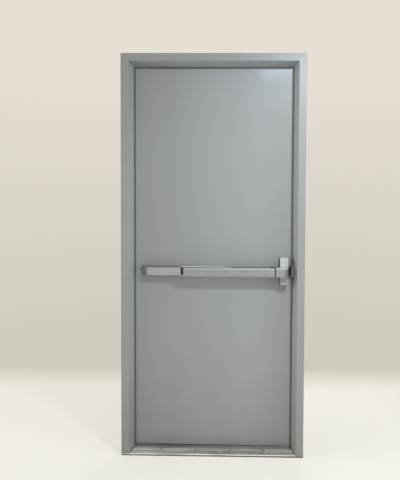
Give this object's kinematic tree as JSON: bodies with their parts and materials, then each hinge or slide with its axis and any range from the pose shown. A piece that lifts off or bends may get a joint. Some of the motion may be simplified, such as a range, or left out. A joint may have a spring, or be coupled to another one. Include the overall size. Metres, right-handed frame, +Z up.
{
  "type": "steel utility door",
  "caption": "Grey painted hollow steel door leaf with a horizontal touch-bar exit device, hung on butt hinges in a pressed-steel frame with a metal sill.",
  "frame": {"origin": "middle of the sill's underside, on the floor, at the middle of the frame's depth", "axes": "+X along the wall from the hinges to the strike, -Y out of the push side, +Z up"},
  "size_m": [1, 0.1285, 2.2],
  "materials": {
    "frame_paint": "satin",
    "leaf_paint": "satin",
    "core_fill": "matte",
    "worn_sill": "satin",
    "hinge_steel": "satin",
    "brushed_bar": "satin",
    "chassis_paint": "satin",
    "cap_plastic": "matte",
    "black_plastic": "matte",
    "bolt_steel": "satin",
    "keeper_black": "satin",
    "seal_rubber": "matte"
  },
  "bodies": {
    "frame": {"sill": "worn_sill", "strike_plate": "bolt_steel", "strike_keeper": "keeper_black", "hinge_jamb": "frame_paint", "strike_jamb": "frame_paint", "frame_head": "frame_paint", "hinge_jamb_strap_low": "frame_paint", "hinge_jamb_strap_middle": "frame_paint", "hinge_jamb_strap_high": "frame_paint", "strike_jamb_strap_low": "frame_paint", "strike_jamb_strap_middle": "frame_paint", "strike_jamb_strap_high": "frame_paint", "low_hinge_backing": "frame_paint", "middle_hinge_backing": "frame_paint", "high_hinge_backing": "frame_paint", "hinge_seal": "seal_rubber", "strike_seal": "seal_rubber", "head_seal": "seal_rubber", "low_hinge_frame_plate": "hinge_steel", "low_hinge_pin": "hinge_steel", "middle_hinge_frame_plate": "hinge_steel", "middle_hinge_pin": "hinge_steel", "high_hinge_frame_plate": "hinge_steel", "high_hinge_pin": "hinge_steel"},
    "leaf": {"leaf_push_skin": "leaf_paint", "leaf_pull_skin": "leaf_paint", "leaf_top_channel": "leaf_paint", "leaf_bottom_channel": "leaf_paint", "leaf_core": "core_fill", "low_hinge_leaf_plate": "hinge_steel", "middle_hinge_leaf_plate": "hinge_steel", "high_hinge_leaf_plate": "hinge_steel", "bar_rail": "brushed_bar", "rail_cover": "brushed_bar", "rail_guide": "black_plastic", "bar_end_cap": "cap_plastic", "latch_chassis": "chassis_paint", "latch_head_cover": "brushed_bar"},
    "pad": {"push_pad": "brushed_bar", "pad_left_end": "cap_plastic", "pad_right_end": "cap_plastic", "pad_carrier": "black_plastic"},
    "latch": {"latch_bolt": "bolt_steel"}
  },
  "joints": [
    {"name": "leaf_swing", "type": "hinge", "parent": "frame", "child": "leaf", "pos_m": [-0.4595, 0.0645, 1.09], "axis": [0, 0, 1], "range_deg": [0, 180]},
    {"name": "pad_press", "type": "slide", "parent": "leaf", "child": "pad", "axis": [0, 1, 0], "range_m": [0, 0.01], "stiffness_N_per_m": 1500},
    {"name": "latch_retract", "type": "slide", "parent": "leaf", "child": "latch", "axis": [-1, 0, 0], "range_m": [0, 0.016]}
  ],
  "couplings": [
    {"joint": "latch_retract", "follows": "pad_press", "ratio": 1.6}
  ]
}
